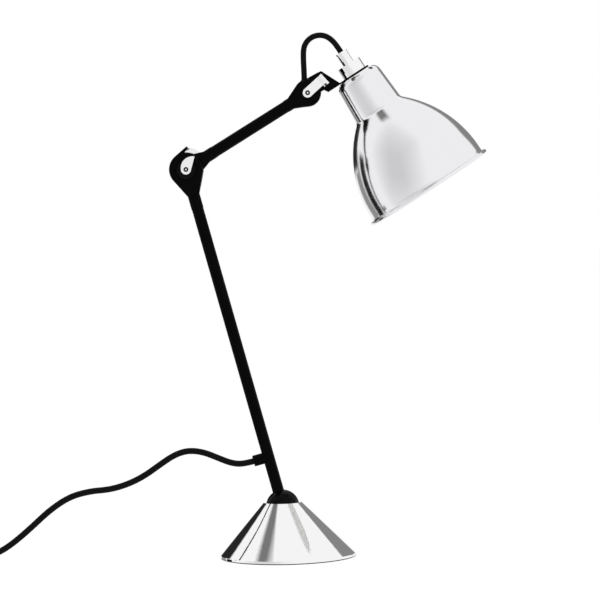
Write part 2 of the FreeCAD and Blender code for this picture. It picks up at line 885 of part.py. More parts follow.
def head_cord():
    start = wrist_point + V(*bush_foot) + UP * bush_length
    leaving = start + UP * head_cord_straight
    end = wrist_point + turned_about_y(V(shade_axis, 0, sleeve_top), -head_tilt)
    entering = end + turned_about_y(UP * head_cord_straight, -head_tilt)
    loop = [wrist_point + V(*p) for p in head_cord_points]
    route = [start, leaving] + loop + [entering, end]
    return tube_along(rounded_route(route, "head_cord"), head_cord_radius, "head_cord")


def mains_cord():
    start = ball_point + turned_about_y(V(-gland_reach, 0, gland_height), -arm_lean)
    leaving = start + turned_about_y(RIGHT * -gland_straight, -arm_lean)
    end = V(switch_face, 0, switch_entry)
    entering = end + RIGHT * switch_straight
    route = [start, leaving] + [V(*p) for p in mains_points] + [entering, end]
    return tube_along(rounded_route(route, "mains_cord"), cord_radius, "mains_cord")


def coil_low():
    return cord_radius + coil_lift


def coil_high():
    return coil_low() + coil_pitch


def cord_link():
    start = V(switch_face - switch_length, 0, switch_entry)
    end = V(coil_start, 0, coil_low())
    route = [start] + [V(*p) for p in link_points] + [end]
    return tube_along(rounded_route(route, "cord_link"), cord_radius, "cord_link")


def coil_middle():
    return V(coil_start - cord_diameter, coil_radius, 0)


def coil_edges():
    """Half turns that spiral in on the low layer, climb, and spiral out on the high layer."""
    step = coil_pitch / 2
    halves = 2 * coil_turns
    x = coil_middle().x
    low = coil_low()
    high = coil_high()
    edges = [Part.LineSegment(V(coil_start, 0, low), V(x, 0, low)).toShape()]
    here = V(x, 0, low)
    side = -1
    for i in range(2 * halves + 1):
        radius = coil_radius - step * (halves - abs(i - halves))
        across = 2 * radius * (1 if i % 2 == 0 else -1)
        if i == halves:
            there = here + V(0, across, high - low)
            reach = here.distanceToPoint(there) / 2
            first_corner = here + V(side * reach, 0, 0)
            last_corner = there + V(side * reach, 0, 0)
            join = (first_corner + last_corner) * 0.5
            for start, corner, end in ((here, first_corner, join), (join, last_corner, there)):
                centre = start + (end - corner)
                middle = centre + (corner - centre).normalize() * reach
                edges.append(Part.Arc(start, middle, end).toShape())
        else:
            there = here + V(0, across, 0)
            middle = here + V(side * radius, across / 2, 0)
            edges.append(Part.Arc(here, middle, there).toShape())
        here = there
        side = -side
    end = here + RIGHT * coil_tail
    edges.append(Part.LineSegment(here, end).toShape())
    return edges, end


def least_gap(edges, diameter):
    """The least room between stretches of the tube that are over a quarter turn apart."""
    spacing = diameter / 4
    points = Part.Wire(edges).discretize(Distance=spacing)
    apart = int(coil_radius * math.pi / 4 / spacing)
    least = min(
        points[i].distanceToPoint(points[j])
        for i in range(len(points))
        for j in range(i + apart, len(points))
    )
    return least - diameter


def cord_coil():
    edges = coil_edges()[0]
    print("cord_coil least gap to itself", round(least_gap(edges, cord_diameter), 2))
    return tube_along(edges, cord_radius, "cord_coil")


def cord_tie():
    """A flat strap round the loops, on the side away from the lamp."""
    middle = coil_middle()
    outer = middle.x - coil_radius - cord_radius - tie_room
    inner = middle.x - coil_radius + coil_turns * coil_pitch + cord_radius + tie_side_room
    low = coil_low() - cord_radius - tie_room
    high = coil_high() + cord_radius + tie_room
    y_from = middle.y - tie_width / 2
    hole = Part.makeBox(inner - outer, tie_width, high - low, V(outer, y_from, low))
    length = inner - outer + 2 * tie_thickness
    height = high - low + 2 * tie_thickness
    corner = V(outer - tie_thickness, y_from, low - tie_thickness)
    return Part.makeBox(length, tie_width, height, corner).cut(hole)


def rounded_box(x, y, z, lengths, corner, top_round):
    """A box from a corner point, with its upright and top edges rounded."""
    box = Part.makeBox(*lengths, V(x, y, z))
    upright = [e for e in box.Edges if abs(e.tangentAt(e.FirstParameter).z) > 0.5]
    box = box.makeFillet(corner, upright)
    top = [e for e in box.Edges if is_level(e, z + lengths[2])]
    return box.makeFillet(top_round, top)


def switch_body():
    x = switch_face - switch_length
    lengths = (switch_length, switch_width, switch_height)
    body = rounded_box(x, -switch_width / 2, 0, lengths, switch_corner, switch_top_round)
    middle = switch_face - switch_length / 2
    room_length = rocker_length + 2 * rocker_gap
    room_width = rocker_width + 2 * rocker_gap
    room_depth = rocker_depth + rocker_gap
    corner = V(middle - room_length / 2, -room_width / 2, switch_height - room_depth)
    return body.cut(Part.makeBox(room_length, room_width, room_depth, corner))


def switch_rocker():
    """A rocker on a cross axis, with a ridged end that is up at each throw."""
    middle = switch_face - switch_length / 2
    half = rocker_length / 2
    under = switch_height - rocker_depth
    points = [
        (middle - half, switch_height + rocker_rise),
        (middle, switch_height),
        (middle + half, switch_height + rocker_rise),
        (middle + half, switch_height - rocker_rise),
        (middle, under),
        (middle - half, switch_height - rocker_rise),
    ]
    rocker = slab(points, -rocker_width / 2, rocker_width / 2)
    rocker.rotate(V(middle, 0, switch_height - rocker_depth / 2), BACK, rocker_throw)
    return rocker


def plug_start():
    return coil_edges()[1]


def plug_relief():
    start = plug_start()
    return Part.makeCone(relief_tip_radius, relief_radius, relief_length, start, RIGHT)


def plug_body():
    start = plug_start() + RIGHT * relief_length
    height = 2 * start.z
    y = start.y - plug_width / 2
    return rounded_box(start.x, y, 0, (plug_length, plug_width, height), plug_corner, plug_top_round)


def plug_pins():
    face = plug_start() + RIGHT * (relief_length + plug_length)
    spacing = V(0, pin_spacing / 2, 0)
    pins = [rod(pin_radius, face + spacing * side, RIGHT, pin_length) for side in (-1, 1)]
    return Part.makeCompound(pins)


def main():
    os.makedirs("parts", exist_ok=True)
    save("base_shell", base_shell())
    save("base_weight", base_weight())
    save("base_pad", base_pad())
    save("ball_seat", ball_seat())
    save("seat_spring", seat_spring())
    save("ball", on_lower_arm(ball()))
    save("lower_tube", on_lower_arm(lower_tube()))
    save("cord_gland", on_lower_arm(cord_gland()))
    save("lower_wire", on_lower_arm(lower_wire()))
    save("lower_knuckle", at_elbow(lower_knuckle()))
    save("elbow_washers", at_elbow(elbow_washers()))
    save("lever_washers", at_elbow(lever_washers()))
    save("elbow_bolt", at_elbow(elbow_bolt()))
    save("elbow_rear_tab", placed(elbow_rear_tab(), 0, elbow_point))
    save("elbow_lever", placed(elbow_lever(), 0, elbow_point))
    save("upper_knuckle", on_upper_arm(upper_knuckle()))
    save("upper_tube", on_upper_arm(upper_tube()))
    save("upper_wire", on_upper_arm(upper_wire()))
    save("wrist_fork", at_wrist(wrist_fork()))
    save("wrist_washer", at_wrist(wrist_washer()))
    save("wrist_spacer", at_wrist(wrist_spacer()))
    save("wrist_bolt", at_wrist(wrist_bolt()))
    save("wrist_nut", at_wrist(wrist_nut()))
    save("wrist_lever", placed(wrist_lever(), 0, wrist_point))
    save("cord_bush", placed(cord_bush(), 0, wrist_point))
    save("head_bracket", on_head(head_bracket()))
    save("shade", on_head(shade()))
    save("collar", on_head(collar()))
    save("sleeve", on_head(sleeve()))
    save("nipple", on_head(nipple()))
    save("lock_nut", on_head(lock_nut()))
    save("lampholder", on_head(lampholder()))
    save("lampholder_contact", on_head(lampholder_contact()))
    save("bulb_cap", on_head(bulb_cap()))
    save("bulb", on_head(bulb()))
    save("head_cord", head_cord())
    save("mains_cord", mains_cord())
    save("switch_body", switch_body())
    save("switch_rocker", switch_rocker())
    save("cord_link", cord_link())
    save("cord_coil", cord_coil())
    save("cord_tie", cord_tie())
    save("plug_relief", plug_relief())
    save("plug_body", plug_body())
    save("plug_pins", plug_pins())


main()
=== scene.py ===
import json
import math

import bmesh
import bpy
from bpy.props import FloatProperty, FloatVectorProperty, IntProperty, PointerProperty
from mathutils import Matrix, Vector


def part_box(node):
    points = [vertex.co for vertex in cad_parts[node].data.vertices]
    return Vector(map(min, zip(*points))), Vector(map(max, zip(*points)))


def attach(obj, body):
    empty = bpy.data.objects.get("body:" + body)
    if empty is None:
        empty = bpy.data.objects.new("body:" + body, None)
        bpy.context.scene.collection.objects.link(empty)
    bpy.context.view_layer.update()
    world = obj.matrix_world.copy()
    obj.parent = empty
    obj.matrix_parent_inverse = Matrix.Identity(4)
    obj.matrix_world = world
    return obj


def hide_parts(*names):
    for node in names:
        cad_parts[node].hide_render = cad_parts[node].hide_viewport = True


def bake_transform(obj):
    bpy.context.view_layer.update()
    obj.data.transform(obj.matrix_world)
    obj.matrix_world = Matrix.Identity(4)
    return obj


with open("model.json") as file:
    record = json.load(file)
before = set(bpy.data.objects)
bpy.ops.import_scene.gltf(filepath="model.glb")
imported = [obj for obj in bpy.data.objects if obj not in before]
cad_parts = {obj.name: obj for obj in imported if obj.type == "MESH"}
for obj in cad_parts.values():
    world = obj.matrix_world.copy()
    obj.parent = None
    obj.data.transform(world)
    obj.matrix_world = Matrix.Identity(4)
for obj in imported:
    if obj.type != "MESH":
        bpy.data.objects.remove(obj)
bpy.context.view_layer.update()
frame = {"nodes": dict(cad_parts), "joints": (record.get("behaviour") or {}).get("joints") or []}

bl_info = {
    "name": "Architect lamp",
    "version": (1, 1, 0),
    "blender": (4, 5, 0),
    "location": "View3D > Sidebar > Lamp",
    "description": "Dresses the packed architect lamp with its finishes, cords, shade and studio",
    "category": "Object",
}

PIVOTS = {joint["name"]: Vector(joint["pos_m"]) for joint in frame["joints"]}
WRIST = PIVOTS["wrist_tilt"]
ELBOW = PIVOTS["elbow_bend"]
# The shade's axis leans by this much in the photo's pose
HEAD_TILT = math.radians(31.5)
SHADE_RIGHT = Vector((math.cos(HEAD_TILT), 0, math.sin(HEAD_TILT)))
SHADE_UP = Vector((-math.sin(HEAD_TILT), 0, math.cos(HEAD_TILT)))
FRONT = Vector((0, -1, 0))
RIGHT = Vector((1, 0, 0))
CORD_SIDES = 20
HARD_EDGE = math.radians(40)


def linear(hex_colour):
    """An sRGB hex colour as linear red, green and blue."""
    shares = [int(hex_colour[i:i + 2], 16) / 255 for i in (1, 3, 5)]
    return tuple(c / 12.92 if c <= 0.04045 else ((c + 0.055) / 1.055) ** 2.4 for c in shares)


def colour(name, description, hex_colour):
    """A colour property that starts from an sRGB hex value."""
    return FloatVectorProperty(
        name=name, description=description, default=linear(hex_colour), subtype="COLOR", min=0, max=1)


def length(name, description, metres):
    """A size property in metres."""
    return FloatProperty(name=name, description=description, default=metres, unit="LENGTH", min=0)


class LampSizes(bpy.types.PropertyGroup):
    """Sizes of the pieces that are made here."""

    cord_diameter: length("Cord diameter", "Outside diameter of the mains cord", 0.0064)
    head_cord_diameter: length("Head cord diameter", "Outside diameter of the loop at the head", 0.0058)
    coil_radius: length("Coil radius", "Radius of the outer loops of the put-away cord", 0.043)
    coil_pitch: length("Coil pitch", "Distance between neighbouring loops", 0.007)
    coil_turns: IntProperty(
        name="Coil turns", description="Loops in each of the two layers", default=3, min=1)
    shade_axis: length("Shade axis", "Distance of the shade's axis from the wrist pivot", 0.0512)
    shade_top: length("Shade top", "Distance of the shade's top below the wrist pivot", 0.0108)
    shade_height: length("Shade height", "Height of the shade from rim to top", 0.139)
    shade_wall: length("Shade wall", "Thickness of the spun sheet", 0.001)
    rim_radius: length("Rim radius", "Outside radius of the rolled rim", 0.07)
    rim_bead: length("Rim bead", "Radius of the bead on the rim", 0.002)
    lip_radius: length("Lip radius", "Radius of the straight lip over the rim", 0.066)
    lip_height: length("Lip height", "Height at which the bell starts to close", 0.008)
    bell_arc: length("Bell arc", "Radius of the bell's arc", 0.117)
    neck_low_radius: length("Neck foot radius", "Radius of the neck where it meets the bell", 0.0266)
    neck_top_radius: length("Neck top radius", "Radius of the neck under its shoulder", 0.0245)
    shoulder: length("Shoulder", "Radius of the bend between neck and top", 0.009)
    top_hole: length("Top hole", "Radius of the hole for the nipple", 0.00505)
    vent_radius: length("Vent radius", "Radius of the air holes in the shoulder", 0.0025)
    vent_count: IntProperty(name="Vents", description="Air holes round the shoulder", default=6, min=1)
    vent_turn: FloatProperty(
        name="Vent turn", description="Where the first air hole is, from the front",
        default=math.radians(-13), subtype="ANGLE")


class LampColours(bpy.types.PropertyGroup):
    """Colours of the finishes."""

    chrome: colour("Chrome", "Polished chromium plate", "#F4F4F5")
    shade: colour("Shade", "Satin chromium plate on the shade", "#ECECEE")
    enamel: colour("Enamel", "Gloss enamel on the ball", "#030303")
    powder: colour("Powder coat", "Satin powder coat on tubes and joints", "#030303")
    oxide: colour("Black oxide", "Blackened steel of the bolts", "#2A2A2C")
    lacquer: colour("Lacquer", "White lacquer inside the shade", "#F2F2F0")
    sheath: colour("Sheath", "Outside of the cords", "#070708")
    plastic: colour("Plastic", "Moulded pieces of the cord", "#101011")
    rocker: colour("Rocker", "Rocker of the switch", "#1B1B1D")
    nickel: colour("Nickel", "Nickel plate on pins, cap and contact", "#C9C4BA")
    steel: colour("Steel", "Ground steel of seat and spring", "#9A9B9E")
    iron: colour("Iron", "Cast iron of the weight", "#2E2D2C")
    felt: colour("Felt", "Felt under the base", "#161617")
    opal: colour("Opal glass", "Glass of the bulb", "#F3F1EB")
    nylon: colour("Nylon", "Washers in the joints", "#0A0A0A")
    bakelite: colour("Bakelite", "Pressed resin of the lampholder", "#141210")


class LampStage(bpy.types.PropertyGroup):
    """The camera's place and the studio's light."""

    eye: FloatVectorProperty(
        name="Eye", description="Where the camera stands",
        default=(0.0187, -3.0, 0.3853), subtype="TRANSLATION")
    aim: FloatVectorProperty(
        name="Aim", description="What the camera looks at",
        default=(0.0187, 0.0, 0.2628), subtype="TRANSLATION")
    frame_width: length("Frame width", "Width of the picture at the lamp", 0.6138)
    roll: FloatProperty(
        name="Roll", description="Turn of the camera about its view",
        default=math.radians(-1.5), subtype="ANGLE")
    fill: FloatProperty(
        name="Fill", description="Strength of the soft light from all round", default=1.0, min=0)
    key: FloatProperty(name="Key", description="Power of the large lamp", default=25, min=0, unit="POWER")
    side: FloatProperty(
        name="Side", description="Power of the small side lamp", default=8, min=0, unit="POWER")


def add_node(tree, kind, settings=None, values=None, links=None):
    """Adds one node with its settings and input values, and links outputs of other nodes to its inputs."""
    node = tree.nodes.new(kind)
    for name, value in (settings or {}).items():
        setattr(node, name, value)
    for name, value in (values or {}).items():
        node.inputs[name].default_value = value
    for name, socket in (links or {}).items():
        tree.links.new(socket, node.inputs[name])
    return node


def per_metre(millimetres):
    """The texture scale that repeats once in a real size."""
    return 1000 / millimetres


def new_finish(name, base_colour, values):
    """A material with one shader, and the tree and shader to add its surface to."""
    material = bpy.data.materials.new(name)
    material.use_nodes = True
    tree = material.node_tree
    shader = tree.nodes["Principled BSDF"]
    shader.inputs["Base Color"].default_value = (*base_colour, 1)
    for socket, value in values.items():
        shader.inputs[socket].default_value = value
    return material, tree, shader


def grained(name, base_colour, values, grain, depth, rough):
    """A finish whose grain, in millimetres, dents it by a depth and spreads its roughness over a range."""
    material, tree, shader = new_finish(name, base_colour, values)
    place = add_node(tree, "ShaderNodeTexCoord")
    noise = add_node(tree, "ShaderNodeTexNoise", values={"Scale": per_metre(grain), "Detail": 3},
                     links={"Vector": place.outputs["Object"]})
    spread = add_node(tree, "ShaderNodeMapRange", values={"To Min": rough[0], "To Max": rough[1]},
                      links={"Value": noise.outputs["Fac"]})
    bump = add_node(tree, "ShaderNodeBump", values={"Strength": 0.5, "Distance": depth / 1000},
                    links={"Height": noise.outputs["Fac"]})
    tree.links.new(spread.outputs["Result"], shader.inputs["Roughness"])
    tree.links.new(bump.outputs["Normal"], shader.inputs["Normal"])
    return material


def polished_chrome():
    """Chromium plate over buffed steel: a clear mirror, with a faint haze from the buffing wheel."""
    colours = bpy.context.scene.lamp_colours
    material, tree, shader = new_finish("polished_chrome", colours.chrome, {"Metallic": 1})
    place = add_node(tree, "ShaderNodeTexCoord")
    haze = add_node(tree, "ShaderNodeTexNoise", values={"Scale": per_metre(14), "Detail": 2},
                    links={"Vector": place.outputs["Object"]})
    spread = add_node(tree, "ShaderNodeMapRange", values={"To Min": 0.03, "To Max": 0.07},
                      links={"Value": haze.outputs["Fac"]})
    tree.links.new(spread.outputs["Result"], shader.inputs["Roughness"])
    return material


def satin_spun_chrome():
    """Chromium plate over spun steel: a soft mirror, whose spinning marks run round the shade's axis."""
    colours = bpy.context.scene.lamp_colours
    material, tree, shader = new_finish("satin_spun_chrome", colours.shade, {"Metallic": 1})
    place = add_node(tree, "ShaderNodeTexCoord")
    along = add_node(tree, "ShaderNodeVectorMath", {"operation": "DOT_PRODUCT"}, {1: SHADE_UP},
                     {0: place.outputs["Object"]})
    # The tool's marks are finer than a pixel, so they are drawn 1.5 mm apart
    marks = add_node(tree, "ShaderNodeTexNoise", {"noise_dimensions": "1D"},
                     {"Scale": per_metre(1.5), "Detail": 2}, {"W": along.outputs["Value"]})
    spread = add_node(tree, "ShaderNodeMapRange", values={"To Min": 0.1, "To Max": 0.15},
                      links={"Value": marks.outputs["Fac"]})
    bump = add_node(tree, "ShaderNodeBump", values={"Strength": 0.2, "Distance": 0.000004},
                    links={"Height": marks.outputs["Fac"]})
    tree.links.new(spread.outputs["Result"], shader.inputs["Roughness"])
    tree.links.new(bump.outputs["Normal"], shader.inputs["Normal"])
    return material


def gloss_enamel():
    """Stoved black enamel: deep gloss, with the slight ripple that a dipped coat keeps."""
    colours = bpy.context.scene.lamp_colours
    return grained("gloss_enamel", colours.enamel, {"IOR": 1.5, "Specular IOR Level": 0.06},
                   grain=6, depth=0.004, rough=(0.1, 0.16))


def satin_powder_coat():
    """Polyester powder coat, baked: satin and very dark, with fine orange peel of about half a millimetre."""
    colours = bpy.context.scene.lamp_colours
    return grained("satin_powder_coat", colours.powder, {"IOR": 1.5, "Specular IOR Level": 0.03},
                   grain=0.6, depth=0.006, rough=(0.14, 0.22))


def black_oxide_steel():
    """Turned steel, chemically blackened: a dark metal with soft edges of light."""
    colours = bpy.context.scene.lamp_colours
    return grained("black_oxide_steel", colours.oxide, {"Metallic": 1},
                   grain=0.8, depth=0.004, rough=(0.3, 0.42))


def pvc_sheath():
    """Extruded PVC: nearly matt, with faint unevenness from the die."""
    colours = bpy.context.scene.lamp_colours
    return grained("pvc_sheath", colours.sheath, {"IOR": 1.52, "Specular IOR Level": 0.06},
                   grain=1.2, depth=0.01, rough=(0.4, 0.5))


def moulded_abs(name, base_colour):
    """ABS from a spark-eroded mould: matt, with a fine even pebble."""
    return grained(name, base_colour, {"IOR": 1.53, "Specular IOR Level": 0.15},
                   grain=0.5, depth=0.02, rough=(0.42, 0.55))


def drawn_nylon():
    """Nylon cut from drawn bar: dull black, hardly any sheen."""
    colours = bpy.context.scene.lamp_colours
    return grained("drawn_nylon", colours.nylon, {"IOR": 1.53, "Specular IOR Level": 0.03},
                   grain=0.8, depth=0.01, rough=(0.45, 0.55))


def plated(name, base_colour):
    """Nickel plate over a turned or pressed piece: bright, a little worn."""
    return grained(name, base_colour, {"Metallic": 1}, grain=2.5, depth=0.003, rough=(0.16, 0.3))


def white_lacquer():
    """Stoved white lacquer: smooth and bright, with a soft sheen that spreads the bulb's light."""
    colours = bpy.context.scene.lamp_colours
    return grained("white_lacquer", colours.lacquer, {"IOR": 1.5}, grain=1.5, depth=0.006, rough=(0.3, 0.42))


def opal_glass():
    """Opal glass, blown: milky and even, with a clear gloss on the outside."""
    colours = bpy.context.scene.lamp_colours
    milky = {"IOR": 1.5, "Subsurface Weight": 0.3, "Subsurface Scale": 0.003}
    return grained("opal_glass", colours.opal, milky, grain=12, depth=0.004, rough=(0.12, 0.18))


def pressed_felt():
    """Wool felt, pressed: dead matt, with short tangled fibres about half a millimetre long."""
    colours = bpy.context.scene.lamp_colours
    return grained("pressed_felt", colours.felt, {"Sheen Weight": 0.3},
                   grain=0.5, depth=0.15, rough=(0.9, 1.0))


def cast_iron():
    """Sand-cast iron, painted: dark, with the grain of the sand."""
    colours = bpy.context.scene.lamp_colours
    return grained("cast_iron", colours.iron, {"Metallic": 0.7}, grain=1.0, depth=0.08, rough=(0.55, 0.75))


def ground_steel():
    """Ground steel: grey and semi-bright, with fine grinding marks."""
    colours = bpy.context.scene.lamp_colours
    return grained("ground_steel", colours.steel, {"Metallic": 1}, grain=0.7, depth=0.004, rough=(0.25, 0.38))


def finish(material, *nodes):
    """Gives CAD nodes their finish."""
    for name in nodes:
        slots = frame["nodes"][name].data.materials
        slots.clear()
        slots.append(material)


def soften(width, *nodes):
    """Breaks the sharp edges of CAD nodes as a deburred or moulded piece has them."""
    for name in nodes:
        edge = frame["nodes"][name].modifiers.new("broken_edges", "BEVEL")
        edge.width = width
        edge.segments = 2
        edge.limit_method = "ANGLE"
        edge.angle_limit = HARD_EDGE
        edge.harden_normals = True


def new_piece(name, vertices, faces, *materials):
    """A smooth mesh piece in the lamp's own axes, with hard edges kept hard."""
    mesh = bpy.data.meshes.new(name)
    mesh.from_pydata(vertices, [], faces)
    mesh.polygons.foreach_set("use_smooth", [True] * len(mesh.polygons))
    for material in materials:
        mesh.materials.append(material)
    mesh.set_sharp_from_angle(angle=HARD_EDGE)
    piece = bpy.data.objects.new(name, mesh)
    bpy.context.scene.collection.objects.link(piece)
    return piece


def face_outwards(piece):
    """Turns all faces of a closed piece outwards."""
    edit = bmesh.new()
    edit.from_mesh(piece.data)
    bmesh.ops.recalc_face_normals(edit, faces=edit.faces)
    edit.to_mesh(piece.data)
    edit.free()


def ring(centre, across, other, radius, sides):
    """Points of a circle round a centre."""
    turns = [2 * math.pi * k / sides for k in range(sides)]
    return [centre + (across * math.cos(turn) + other * math.sin(turn)) * radius for turn in turns]


def band(first, sides):
    """Faces from one ring, whose first point is given, to the ring after it."""
    faces = []
    for k in range(sides):
        after = (k + 1) % sides
        faces.append((first + k, first + after, first + sides + after, first + sides + k))
    return faces


def turned(name, start, axis, profile, sides, material):
    """A turned piece: a profile of radii and distances along an axis, closed flat at both ends."""
    across = axis.orthogonal().normalized()
    other = axis.cross(across)
    vertices = []
    faces = []
    for i, (radius, along) in enumerate(profile):
        vertices += ring(start + axis * along, across, other, radius, sides)
        if i:
            faces += band((i - 1) * sides, sides)
    last = (len(profile) - 1) * sides
    faces.append(tuple(range(sides)))
    faces.append(tuple(last + k for k in range(sides)))
    piece = new_piece(name, vertices, faces, material)
    face_outwards(piece)
    return piece


def route_line(name, points):
    """The points of a smooth line whose control points are a route's points."""
    curve = bpy.data.curves.new(name, "CURVE")
    curve.dimensions = "3D"
    curve.resolution_u = 8
    spline = curve.splines.new("NURBS")
    spline.points.add(len(points) - 1)
    for control, point in zip(spline.points, points):
        control.co = (*point, 1)
    spline.order_u = 3
    spline.use_endpoint_u = True
    holder = bpy.data.objects.new(name, curve)
    mesh = bpy.data.meshes.new_from_object(holder)
    line = [vertex.co.copy() for vertex in mesh.vertices]
    bpy.data.objects.remove(holder)
    bpy.data.meshes.remove(mesh)
    return line


def cord_tube(name, line, radius, material):
    """A closed round tube along a line."""
    vertices = []
    faces = []
    across = Vector((0, 1, 0))
    for i, point in enumerate(line):
        heading = (line[min(i + 1, len(line) - 1)] - line[max(i - 1, 0)]).normalized()
        across = (across - heading * across.dot(heading)).normalized()
        vertices += ring(point, across, heading.cross(across), radius, CORD_SIDES)
        if i:
            faces += band((i - 1) * CORD_SIDES, CORD_SIDES)
    last = (len(line) - 1) * CORD_SIDES
    faces.append(tuple(reversed(range(CORD_SIDES))))
    faces.append(tuple(last + k for k in range(CORD_SIDES)))
    return new_piece(name, vertices, faces, material)


def millimetres(points):
    """Points that are written in millimetres, as vectors in metres."""
    return [Vector(point) / 1000 for point in points]


class LAMP_OT_cords(bpy.types.Operator):
    """Lays the mains cord with its coil, and the loop at the head"""

    bl_idname = "lamp.cords"
    bl_label = "Cords"

    def coil(self, sizes):
        """Control points of loops that spiral in on the low layer and out on the high one."""
        points_per_half = 12
        halves = 2 * sizes.coil_turns
        middle_x = -0.4344
        low_layer = 0.0044
        high_layer = low_layer + sizes.coil_pitch
        straight_end = 0.02
        points = []
        y = 0.0
        side = -1
        for i in range(2 * halves + 1):
            radius = sizes.coil_radius - sizes.coil_pitch / 2 * (halves - abs(i - halves))
            way = 1 if i % 2 == 0 else -1
            for k in range(points_per_half):
                turn = math.pi * k / points_per_half
                height = low_layer if i < halves else high_layer
                if i == halves:
                    height = low_layer + sizes.coil_pitch * (1 - math.cos(turn)) / 2
                x = middle_x + side * radius * math.sin(turn)
                points.append(Vector((x, y + way * radius * (1 - math.cos(turn)), height)))
            y += way * 2 * radius
            side = -side
        end = Vector((middle_x, y, high_layer))
        return points + [end, end + RIGHT * straight_end]

    def execute(self, context):
        sizes = context.scene.lamp_sizes
        sheath = pvc_sheath()
        mains = millimetres([
            (-33.18, 0.0, 98.76), (-43.83, 0.0, 96.02),
            (-55.8, 0.0, 97.2), (-69.5, 0.0, 103.0), (-84.0, 0.0, 109.3), (-99.5, 0.0, 111.6),
            (-114.0, 0.0, 107.5), (-129.0, 0.0, 97.8), (-145.0, 0.0, 86.8), (-162.0, 0.0, 78.6),
            (-181.0, 0.0, 73.4), (-202.0, 0.0, 72.2), (-223.0, 0.0, 67.0), (-244.0, 0.0, 53.5),
            (-264.0, 0.0, 35.5), (-283.0, 0.0, 20.0), (-298.0, 0.0, 11.0),
            (-314.0, 0.0, 7.0), (-330.0, 0.0, 7.0), (-388.0, 0.0, 7.0),
            (-400.0, 0.0, 7.0), (-416.0, 0.0, 4.4), (-428.0, 0.0, 4.4),
        ])
        line = route_line("mains_route", mains + self.coil(sizes))
        cord = cord_tube("mains_lead", line, sizes.cord_diameter / 2, sheath)
        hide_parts("mains_cord", "cord_link", "cord_coil")
        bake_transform(cord)

        loop = [WRIST + p for p in millimetres([
            (-3.0, 2.9, 13.8), (-3.0, 2.9, 22.3),
            (-3.4, 2.7, 34.2), (-3.0, 2.4, 45.7), (0.1, 2.0, 52.3), (5.7, 1.5, 57.0),
            (12.8, 1.0, 58.9), (20.0, 0.5, 57.7), (26.0, 0.2, 53.5),
            (30.746, 0.0, 47.812), (35.187, 0.0, 40.565),
        ])]
        line = route_line("head_route", loop)
        cord = cord_tube("head_lead", line, sizes.head_cord_diameter / 2, sheath)
        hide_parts("head_cord")
        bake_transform(cord)
        finish(sheath, "lower_wire", "upper_wire")
        return {"FINISHED"}


class LAMP_OT_base(bpy.types.Operator):
    """Finishes the base with its weight, pad and seat"""

    bl_idname = "lamp.base"
    bl_label = "Base"

    def execute(self, context):
        finish(polished_chrome(), "base_shell")
        finish(cast_iron(), "base_weight")
        finish(pressed_felt(), "base_pad")
        finish(ground_steel(), "ball_seat", "seat_spring")
        return {"FINISHED"}


class LAMP_OT_arms(bpy.types.Operator):
    """Finishes the ball, the tubes and the joints"""

    bl_idname = "lamp.arms"
    bl_label = "Arms"

    def execute(self, context):
        finish(gloss_enamel(), "ball")
        finish(satin_powder_coat(), "lower_tube", "upper_tube", "lower_knuckle", "upper_knuckle",
               "wrist_fork", "head_bracket", "cord_gland")
        finish(drawn_nylon(), "elbow_washers", "lever_washers", "wrist_washer", "wrist_spacer", "cord_bush")
        return {"FINISHED"}


class LAMP_OT_levers(bpy.types.Operator):
    """Finishes the levers and their bolts"""

    bl_idname = "lamp.levers"
    bl_label = "Levers"

    def core(self, name, pivot, front, body, material):
        """The bright bottom of a bolt's hollow, slightly domed."""
        depth = 0.0008
        radius = 0.0012
        profile = [(radius, -0.001), (radius, 0), (0.0011, 0.0002), (0.0008, 0.00035), (0.0003, 0.0004)]
        start = Vector((pivot.x, front + depth, pivot.z))
        piece = turned(name, start, FRONT, profile, sides=24, material=material)
        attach(piece, body)

    def execute(self, context):
        edge_width = 0.0003
        chrome = polished_chrome()
        finish(chrome, "elbow_lever", "elbow_rear_tab", "wrist_lever")
        finish(black_oxide_steel(), "elbow_bolt", "wrist_bolt", "wrist_nut")
        soften(edge_width, "elbow_lever", "wrist_lever", "elbow_rear_tab")
        self.core("elbow_bolt_core", ELBOW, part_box("elbow_bolt")[0].y, "lower_arm", chrome)
        self.core("wrist_bolt_core", WRIST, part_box("wrist_bolt")[0].y, "upper_arm", chrome)
        return {"FINISHED"}


